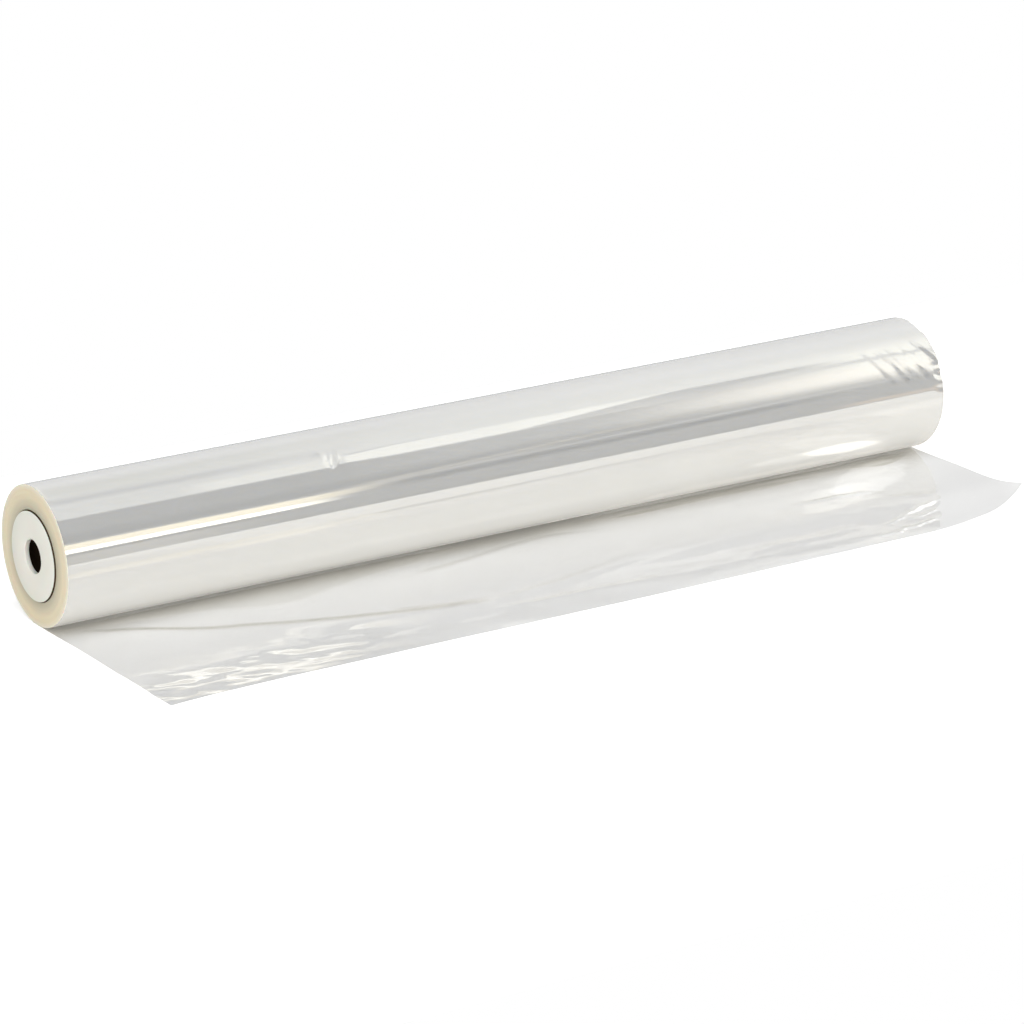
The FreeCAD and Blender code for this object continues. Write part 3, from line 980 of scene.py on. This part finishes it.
class ROLL_OT_add_end_plugs(bpy.types.Operator):
    """Makes the plug in each end of the core"""

    bl_idname = "roll.add_end_plugs"
    bl_label = "End Plugs"

    def execute(self, context):
        sizes = context.scene.cellophane_sizes
        material = make_plug_material(context.scene.cellophane_colours.plug)
        for name, at_front in (("end_plug_front", True), ("end_plug_rear", False)):
            low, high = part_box(name)
            bm = build_plug(sizes, low, high, at_front)
            if at_front:
                add_gate_mark(bm, low.x)
            new_piece("dressed_" + name, bm, [material], name)
        return {"FINISHED"}


# ---------------------------------------------------------------- stage

CAMERA_PLACE = (-1.0919, -1.6887, 0.6755)
CAMERA_YAW, CAMERA_PITCH, CAMERA_ROLL = 32.388, 18.01, -0.65
CAMERA_LENS = 155.1

# The soft studio, as the film mirrors it, is made of panels, and a later one covers an earlier one. Low and
# high are heights in degrees, 0 level in front of the roll and 90 overhead, and soft is how soft these edges are.
# The tilts turn the edges, in degrees of height per unit of heading. A heading is the share of a ray that runs
# along the roll: the panel goes from the first to the second, and ends is how soft those two edges are.
Panel = collections.namedtuple(
    "Panel", "low high soft colour level tilts headings ends", defaults=((0, 0), (None, None), 0.02)
)
TILTED_ABOUT = 0.47
NO_PANEL_LEVEL = 0.83
PANELS = {
    "overhead, front": Panel(50, 112, 14, "#fffffc", 0.73),
    "overhead, front left": Panel(60, 90, 3, "#fffffc", 0.62, headings=(None, 0.462)),
    "overhead, behind left": Panel(106, 138, 10, "#fffffa", 0.67, headings=(None, 0.485), ends=0.06),
    "overhead, right": Panel(84, 104, 12, "#fffefa", 0.9, headings=(0.55, None), ends=0.05),
    "gap in the overhead, left": Panel(92, 106, 7, "#ffffff", 0.5, (-40, -40), (None, 0.468)),
    "gap in the overhead, right": Panel(89.3, 91.5, 0.6, "#ffffff", 0.57, (-140, -140), (0.476, 0.54), 0.004),
    "low behind": Panel(176, 230, 4, "#fdfeff", 0.72),
    "horizon behind": Panel(186, 230, 4, "#fdfeff", 0.6),
    "strip light": Panel(69, 87, 1.0, "#fffef8", 0.92, (-20, -20), (0.476, 0.548), 0.002),
    "strip light, brighter end": Panel(72, 83, 2.0, "#fffef8", 0.99, headings=(0.515, 0.535), ends=0.01),
    "grey wedge below the strip": Panel(68, 46.5, 1.0, "#fffefc", 0.5, (0, 500), (0.505, 0.548), 0.003),
    "grey gap past the strip": Panel(66, 83.5, 1.5, "#fffefc", 0.43, headings=(0.543, 0.572), ends=0.006),
    "strip light, left part": Panel(69, 84, 1.5, "#fffef8", 0.77, (-60, -60), (0.45, 0.474), 0.005),
    "dark flag": Panel(29, 67.5, 2.0, "#fdfcf9", 0.35),
    "dark flag, left": Panel(29, 67.5, 2.0, "#fffefb", 0.245, headings=(None, 0.49), ends=0.025),
    "dark flag, lower part": Panel(26, 42, 8, "#fbfaf6", 0.18),
    "front wall": Panel(-14, 27, 1.5, "#fbf9f4", 0.28),
    "front wall, dark line": Panel(17.5, 24.5, 3.5, "#fbf9f4", 0.11, headings=(0.485, 0.568), ends=0.014),
    "front wall, left": Panel(-14, 12, 2, "#fdf8ee", 0.42, headings=(None, 0.455), ends=0.015),
    "front wall, left, dark line": Panel(9.3, 11.3, 0.9, "#fdf8ee", 0.17, headings=(None, 0.464), ends=0.01),
    "warm lamp": Panel(36, 68, 13, "#fffaf0", 1.13, headings=(0.554, None), ends=0.036),
    "white corner": Panel(77, 92, 3.5, "#fffef6", 1.03, (-150, 0), (0.575, None), 0.014),
    "dark line past the corner": Panel(69, 76, 2.5, "#fffefa", 0.66, headings=(0.56, None), ends=0.006),
    "faint streak": Panel(25.5, 29, 1.2, "#fff8ea", 0.37, (160, 160), (0.475, 0.55), 0.012),
    "faint streak, lower line": Panel(22.5, 23.7, 0.6, "#fff8ea", 0.45, (160, 160), (0.475, 0.522), 0.012),
    "cream strip": Panel(19, 26.5, 0.8, "#fff3d6", 1.08, headings=(None, 0.478), ends=0.014),
    "white strip": Panel(13.0, 18.6, 0.8, "#fffaec", 2.4, headings=(None, 0.47), ends=0.011),
    "warm line": Panel(-4, 1, 1, "#ffead4", 0.5, headings=(0.574, None), ends=0.006),
    "sparkle, front": Panel(112, 150, 4, "#fff8ea", 1.15, headings=(0.332, 0.41), ends=0.006),
    "sparkle, rear": Panel(112, 150, 4, "#fffdf8", 2.2, headings=(0.612, 0.69), ends=0.006),
}

# Light on matt surfaces comes mostly from the front and averages about 1. It changes from front to back over
# these two shares of a ray that run across the roll.
FRONT_LEVEL, BACK_LEVEL = 1.75, 0.1
FRONT_EDGE, BACK_EDGE = -0.12, 0.14


def panel_mask(tree, height, heading, from_middle, panel):
    """1 where a mirrored ray meets the panel, 0 elsewhere, with soft edges."""
    first, last = panel.headings
    edges = [
        (height, panel.tilts[0], panel.low - panel.soft, panel.low + panel.soft),
        (height, panel.tilts[1], panel.high + panel.soft, panel.high - panel.soft),
    ]
    if first is not None:
        edges.append((heading, 0, first - panel.ends, first + panel.ends))
    if last is not None:
        edges.append((heading, 0, last + panel.ends, last - panel.ends))
    mask = 1.0
    for value, tilt, start, end in edges:
        if tilt:
            tilted = {0: from_middle, 1: -tilt, 2: value}
            value = add_node(tree, "ShaderNodeMath", MULTIPLY_ADD, tilted).outputs["Value"]
        within = add_node(
            tree, "ShaderNodeMapRange", SMOOTH, {"Value": value, "From Min": start, "From Max": end}
        )
        both = {0: mask, 1: within.outputs["Result"]}
        mask = add_node(tree, "ShaderNodeMath", MULTIPLY, both).outputs["Value"]
    return mask


def ray_height(tree, axes):
    """How high a ray points round the roll, in degrees: 0 level in front, 90 overhead, on past 180 behind."""
    front = add_node(tree, "ShaderNodeMath", MULTIPLY, {0: axes.outputs["Y"], 1: -1.0})
    angle = add_node(
        tree, "ShaderNodeMath", {"operation": "ARCTAN2"}, {0: axes.outputs["Z"], 1: front.outputs["Value"]}
    )
    degrees = add_node(tree, "ShaderNodeMath", MULTIPLY, {0: angle.outputs["Value"], 1: 180 / math.pi})
    behind = add_node(tree, "ShaderNodeMath", LESS_THAN, {0: degrees.outputs["Value"], 1: -90.0})
    whole = {0: behind.outputs["Value"], 1: 360.0, 2: degrees.outputs["Value"]}
    return add_node(tree, "ShaderNodeMath", MULTIPLY_ADD, whole).outputs["Value"]


def make_studio_world():
    """Plain even light for everything matt, with the studio's panels where the film mirrors it."""
    world = bpy.data.worlds.new("Soft studio")
    world.use_nodes = True
    tree = world.node_tree
    tree.nodes.clear()
    ray = add_node(tree, "ShaderNodeTexCoord").outputs["Generated"]
    axes = add_node(tree, "ShaderNodeSeparateXYZ", inputs={"Vector": ray})
    heading = axes.outputs["X"]
    height = ray_height(tree, axes)
    from_middle = add_node(tree, "ShaderNodeMath", {"operation": "SUBTRACT"}, {0: heading, 1: TILTED_ABOUT})
    seen = rgba((NO_PANEL_LEVEL,) * 3)
    for panel in PANELS.values():
        mask = panel_mask(tree, height, heading, from_middle.outputs["Value"], panel)
        lit = rgba(c * panel.level for c in srgb(panel.colour))
        covered = {"Factor": mask, "A": seen, "B": lit}
        seen = add_node(tree, "ShaderNodeMix", MIX_COLOURS, covered).outputs["Result"]
    facing = add_node(
        tree,
        "ShaderNodeMapRange",
        SMOOTH,
        {"Value": axes.outputs["Y"], "From Min": BACK_EDGE, "From Max": FRONT_EDGE},
    )
    sides = {"A": rgba((BACK_LEVEL,) * 3), "B": rgba((FRONT_LEVEL,) * 3)}
    soft = add_node(tree, "ShaderNodeMix", MIX_COLOURS, {"Factor": facing.outputs["Result"], **sides})
    path = add_node(tree, "ShaderNodeLightPath")
    mirrored = add_node(tree, "ShaderNodeBackground", inputs={"Color": seen})
    even = add_node(tree, "ShaderNodeBackground", inputs={"Color": soft.outputs["Result"]})
    white = add_node(tree, "ShaderNodeBackground", inputs={"Color": (1, 1, 1, 1)})
    lit = add_node(
        tree,
        "ShaderNodeMixShader",
        inputs={
            0: path.outputs["Is Glossy Ray"],
            1: even.outputs["Background"],
            2: mirrored.outputs["Background"],
        },
    )
    shown = add_node(
        tree,
        "ShaderNodeMixShader",
        inputs={0: path.outputs["Is Camera Ray"], 1: lit.outputs["Shader"], 2: white.outputs["Background"]},
    )
    add_node(tree, "ShaderNodeOutputWorld", inputs={"Surface": shown.outputs["Shader"]})
    return world


# The board under the roll. Its places are in millimetres, along the roll from its front end or out from below its
# axis. First its glow, which is no lamp: where the camera sees it bare it makes the board white, and under the
# film it is painted light.
BARE_GLOW, BOARD_GLOW = 0.5, 0.045
# Next to the roll its colour is painted darker and warmer as painted shade, from the first of these places to the
# second.
WARM_SHADE, WARM_SHADE_OUT = (0.93, 0.9, 0.84), (30, 12)
# Under the outer part of the film it gets a little more painted light, as glow.
OUTER_GLOW, OUTER_GLOW_OUT, OUTER_GLOW_ALONG = 0.075, (70, 88), (110, 160)
# As the roll mirrors it: how much of the light it scatters, its painted glow at the contact line, and how that
# painted light and shade changes further out, as from, to and by what.
MIRRORED_SHARE, MIRRORED_GLOW = 0.26, 0.64
MIRRORED_GLOW_STEPS = ((7, 12, -0.15), (12, 21, 0.18), (95, 130, -0.15))
# Painted pools of light by the rear end, with their glow under the film and as the roll mirrors it. At the rear
# they lean towards the roll, and their edges are wavy.
PaintedLightPool = collections.namedtuple("PaintedLightPool", "along out half_length half_width glow mirrored_glow")
PAINTED_LIGHT_POOLS = (
    PaintedLightPool(449, 38, 23, 22, 0.15, 0.1),
    PaintedLightPool(450, 29.5, 23, 6, 0.03, 0.5),
    PaintedLightPool(424, 30, 32, 4.5, 0.0, 0.14),
    PaintedLightPool(400, 11, 125, 9, 0.0, 0.17),
)
BRIGHT_LEAN, BRIGHT_WAVINESS, BRIGHT_EDGE = 0.9, 0.5, (1.34, 1.12)


def board_places(tree, place):
    """A place on the board in millimetres, along the roll from its front end and out from below its axis."""
    axes = add_node(tree, "ShaderNodeSeparateXYZ", inputs={"Vector": place})
    lengthwise = {0: axes.outputs["X"], 1: 1 / MM, 2: -FRONT_END / MM}
    outwards = {0: axes.outputs["Y"], 1: -1 / MM, 2: AXIS_Y / MM}
    along = add_node(tree, "ShaderNodeMath", MULTIPLY_ADD, lengthwise)
    out = add_node(tree, "ShaderNodeMath", MULTIPLY_ADD, outwards)
    return along.outputs["Value"], out.outputs["Value"]


def add_board_colour(tree, place, colour, white, mirrored):
    """The colour of the light that the board scatters, as each kind of ray sees it."""
    _, out = board_places(tree, place)
    cloud = add_node(
        tree, "ShaderNodeTexNoise", inputs={"Vector": place, "Scale": 1 / (80 * MM), "Detail": 2.0}
    )
    board = add_node(
        tree,
        "ShaderNodeMix",
        MIX_COLOURS,
        {"Factor": cloud.outputs["Fac"], "A": rgba(c * 0.985 for c in colour), "B": rgba(colour)},
    )
    # painted shade: darker and warmer next to the roll
    far, near = WARM_SHADE_OUT
    by_roll = add_node(tree, "ShaderNodeMapRange", SMOOTH, {"Value": out, "From Min": far, "From Max": near})
    shaded = add_node(
        tree,
        "ShaderNodeMix",
        MULTIPLY_COLOURS,
        {"Factor": by_roll.outputs["Result"], "A": board.outputs["Result"], "B": rgba(WARM_SHADE)},
    )
    shown = add_node(
        tree,
        "ShaderNodeMix",
        MIX_COLOURS,
        {"Factor": white, "A": shaded.outputs["Result"], "B": (1, 1, 1, 1)},
    )
    dimmed = add_node(
        tree,
        "ShaderNodeMix",
        MULTIPLY_COLOURS,
        {"Factor": mirrored, "A": shown.outputs["Result"], "B": rgba((MIRRORED_SHARE,) * 3)},
    )
    return dimmed.outputs["Result"]


def add_board_glow(tree, place, white, mirrored):
    """How strongly the board glows, though it is no lamp, as each kind of ray sees it: painted light, and white
    where it is bare.
    """
    along, out = board_places(tree, place)
    lift = {0: white, 1: BARE_GLOW - BOARD_GLOW, 2: BOARD_GLOW}
    strength = add_node(tree, "ShaderNodeMath", MULTIPLY_ADD, lift).outputs["Value"]
    # painted light under the outer part of the film
    outer = OUTER_GLOW
    for value, (start, end) in ((out, OUTER_GLOW_OUT), (along, OUTER_GLOW_ALONG)):
        span = {"Value": value, "From Min": start, "From Max": end}
        step = add_node(tree, "ShaderNodeMapRange", SMOOTH, span)
        both = {0: step.outputs["Result"], 1: outer}
        outer = add_node(tree, "ShaderNodeMath", MULTIPLY, both).outputs["Value"]
    strength = add_node(tree, "ShaderNodeMath", {"operation": "ADD"}, {0: strength, 1: outer}).outputs["Value"]
    # painted light and shade as the roll mirrors the board
    extra = MIRRORED_GLOW - BOARD_GLOW
    for start, end, change in MIRRORED_GLOW_STEPS:
        span = {"Value": out, "From Min": start, "From Max": end}
        step = add_node(tree, "ShaderNodeMapRange", SMOOTH, span)
        changed = {0: step.outputs["Result"], 1: change, 2: extra}
        extra = add_node(tree, "ShaderNodeMath", MULTIPLY_ADD, changed).outputs["Value"]
    with_extra = {0: mirrored, 1: extra, 2: strength}
    strength = add_node(tree, "ShaderNodeMath", MULTIPLY_ADD, with_extra).outputs["Value"]
    waver = add_node(
        tree, "ShaderNodeTexNoise", inputs={"Vector": place, "Scale": 1 / (11 * MM), "Detail": 2.0}
    )
    for bright in PAINTED_LIGHT_POOLS:
        strength = add_painted_light_pool(tree, (along, out), waver.outputs["Fac"], mirrored, strength, bright)
    return strength


def add_painted_light_pool(tree, place, waver, mirrored, strength, bright):
    """Adds one painted pool of light with a wavy edge to the board's glow."""
    run = add_node(tree, "ShaderNodeMath", {"operation": "SUBTRACT"}, {0: place[0], 1: bright.along})
    off = add_node(tree, "ShaderNodeMath", {"operation": "SUBTRACT"}, {0: place[1], 1: bright.out})
    leaning = {0: off.outputs["Value"], 1: BRIGHT_LEAN, 2: run.outputs["Value"]}
    lean = add_node(tree, "ShaderNodeMath", MULTIPLY_ADD, leaning)
    spot = add_node(
        tree, "ShaderNodeCombineXYZ", inputs={"X": lean.outputs["Value"], "Y": off.outputs["Value"]}
    )
    shares = {0: spot.outputs["Vector"], 1: (1 / bright.half_length, 1 / bright.half_width, 0)}
    scaled = add_node(tree, "ShaderNodeVectorMath", MULTIPLY, shares)
    far = add_node(tree, "ShaderNodeVectorMath", LENGTH, {0: scaled.outputs["Vector"]})
    wavy = {0: waver, 1: BRIGHT_WAVINESS, 2: far.outputs["Value"]}
    edge = add_node(tree, "ShaderNodeMath", MULTIPLY_ADD, wavy)
    inside = add_node(
        tree,
        "ShaderNodeMapRange",
        SMOOTH,
        {"Value": edge.outputs["Value"], "From Min": BRIGHT_EDGE[0], "From Max": BRIGHT_EDGE[1]},
    )
    gain = bright.mirrored_glow - bright.glow
    level = add_node(tree, "ShaderNodeMath", MULTIPLY_ADD, {0: mirrored, 1: gain, 2: bright.glow})
    added = {0: inside.outputs["Result"], 1: level.outputs["Value"], 2: strength}
    return add_node(tree, "ShaderNodeMath", MULTIPLY_ADD, added).outputs["Value"]


def make_floor_material(colour):
    """Pale board with painted light and shade: it glows though it is no lamp, and the camera sees it white where
    it is bare.
    """
    material, tree = new_material("Pale board with painted light and shade")
    place = add_node(tree, "ShaderNodeTexCoord").outputs["Object"]
    path = add_node(tree, "ShaderNodeLightPath")
    past_film = add_node(tree, "ShaderNodeMath", LESS_THAN, {0: path.outputs["Transparent Depth"], 1: 0.5})
    bare = {0: path.outputs["Is Camera Ray"], 1: past_film.outputs["Value"]}
    seen_bare = add_node(tree, "ShaderNodeMath", MULTIPLY, bare)
    either = {0: seen_bare.outputs["Value"], 1: path.outputs["Is Transmission Ray"]}
    white = add_node(tree, "ShaderNodeMath", {"operation": "MAXIMUM"}, either).outputs["Value"]
    # the roll and film see less of the light that lies on the board and more of its painted glow
    unscattered = add_node(tree, "ShaderNodeMath", LESS_THAN, {0: path.outputs["Diffuse Depth"], 1: 0.5})
    straight = {0: path.outputs["Is Glossy Ray"], 1: unscattered.outputs["Value"]}
    mirrored = add_node(tree, "ShaderNodeMath", MULTIPLY, straight).outputs["Value"]
    colour_seen = add_board_colour(tree, place, colour, white, mirrored)
    matt = add_node(tree, "ShaderNodeBsdfDiffuse", inputs={"Color": colour_seen})
    # the painted glow is warmer as mirrored
    tint = add_node(
        tree, "ShaderNodeMix", MIX_COLOURS, {"Factor": mirrored, "A": (1, 1, 1, 1), "B": rgba(srgb("#fffbf3"))}
    )
    strength = add_board_glow(tree, place, white, mirrored)
    glow = add_node(
        tree, "ShaderNodeEmission", inputs={"Color": tint.outputs["Result"], "Strength": strength}
    )
    both = add_node(
        tree, "ShaderNodeAddShader", inputs={0: matt.outputs["BSDF"], 1: glow.outputs["Emission"]}
    )
    add_node(tree, "ShaderNodeOutputMaterial", inputs={"Surface": both.outputs["Shader"]})
    return material


# The board's edges: left, right, front and back.
BOARD = (-1.6, 1.6, -0.42, 0.26)
BOARD_BELOW = 0.01 * MM


def add_floor(colour):
    """The board under the roll. It ends soon in front, so that the film mirrors the wall low down."""
    left, right, front, back = BOARD
    bm = bmesh.new()
    middle = Matrix.Translation(((left + right) / 2, (front + back) / 2, -BOARD_BELOW))
    shape = Matrix.Diagonal((right - left, back - front, 1, 1))
    bmesh.ops.create_grid(bm, x_segments=1, y_segments=1, size=0.5, matrix=middle @ shape)
    mesh = bpy.data.meshes.new("floor")
    bm.to_mesh(mesh)
    bm.free()
    mesh.materials.append(make_floor_material(colour))
    floor = bpy.data.objects.new("floor", mesh)
    bpy.context.scene.collection.objects.link(floor)


def add_camera():
    """A long lens, a little above the roll and in front of its left end."""
    data = bpy.data.cameras.new("camera")
    data.sensor_width = 36.0
    data.lens = CAMERA_LENS
    camera = bpy.data.objects.new("camera", data)
    camera.matrix_world = (
        Matrix.Translation(CAMERA_PLACE)
        @ Matrix.Rotation(math.radians(-CAMERA_YAW), 4, "Z")
        @ Matrix.Rotation(math.radians(90 - CAMERA_PITCH), 4, "X")
        @ Matrix.Rotation(math.radians(CAMERA_ROLL), 4, "Z")
    )
    bpy.context.scene.collection.objects.link(camera)
    bpy.context.scene.camera = camera


class ROLL_OT_add_stage(bpy.types.Operator):
    """Makes the floor, the soft studio light and the camera"""

    bl_idname = "roll.add_stage"
    bl_label = "Stage"

    def execute(self, context):
        context.scene.world = make_studio_world()
        context.scene.view_settings.view_transform = "Standard"
        add_floor(context.scene.cellophane_colours.floor)
        add_camera()
        return {"FINISHED"}


# ---------------------------------------------------------------- add-on


class ROLL_PT_pieces(bpy.types.Panel):
    """Lists the pieces of the roll, with its sizes and colours"""

    bl_idname = "ROLL_PT_pieces"
    bl_label = "Cellophane Roll"
    bl_space_type = "VIEW_3D"
    bl_region_type = "UI"
    bl_category = "Roll"

    def draw(self, context):
        column = self.layout.column()
        for operator in OPERATORS:
            column.operator(operator.bl_idname)
        for group in (context.scene.cellophane_sizes, context.scene.cellophane_colours):
            for name in group.__annotations__:
                column.prop(group, name)


OPERATORS = (
    ROLL_OT_add_wound_film,
    ROLL_OT_add_loose_film,
    ROLL_OT_add_core,
    ROLL_OT_add_end_plugs,
    ROLL_OT_add_stage,
)
CLASSES = (CellophaneSizes, CellophaneColours, *OPERATORS, ROLL_PT_pieces)


def register():
    for item in CLASSES:
        bpy.utils.register_class(item)
    bpy.types.Scene.cellophane_sizes = bpy.props.PointerProperty(type=CellophaneSizes)
    bpy.types.Scene.cellophane_colours = bpy.props.PointerProperty(type=CellophaneColours)


def unregister():
    del bpy.types.Scene.cellophane_colours
    del bpy.types.Scene.cellophane_sizes
    for item in reversed(CLASSES):
        bpy.utils.unregister_class(item)


def main():
    """Makes each piece and the stage in order, and keeps their sizes."""
    register()
    for operator in OPERATORS:
        group, name = operator.bl_idname.split(".")
        getattr(getattr(bpy.ops, group), name)()


if __name__ == "__main__":
    main()
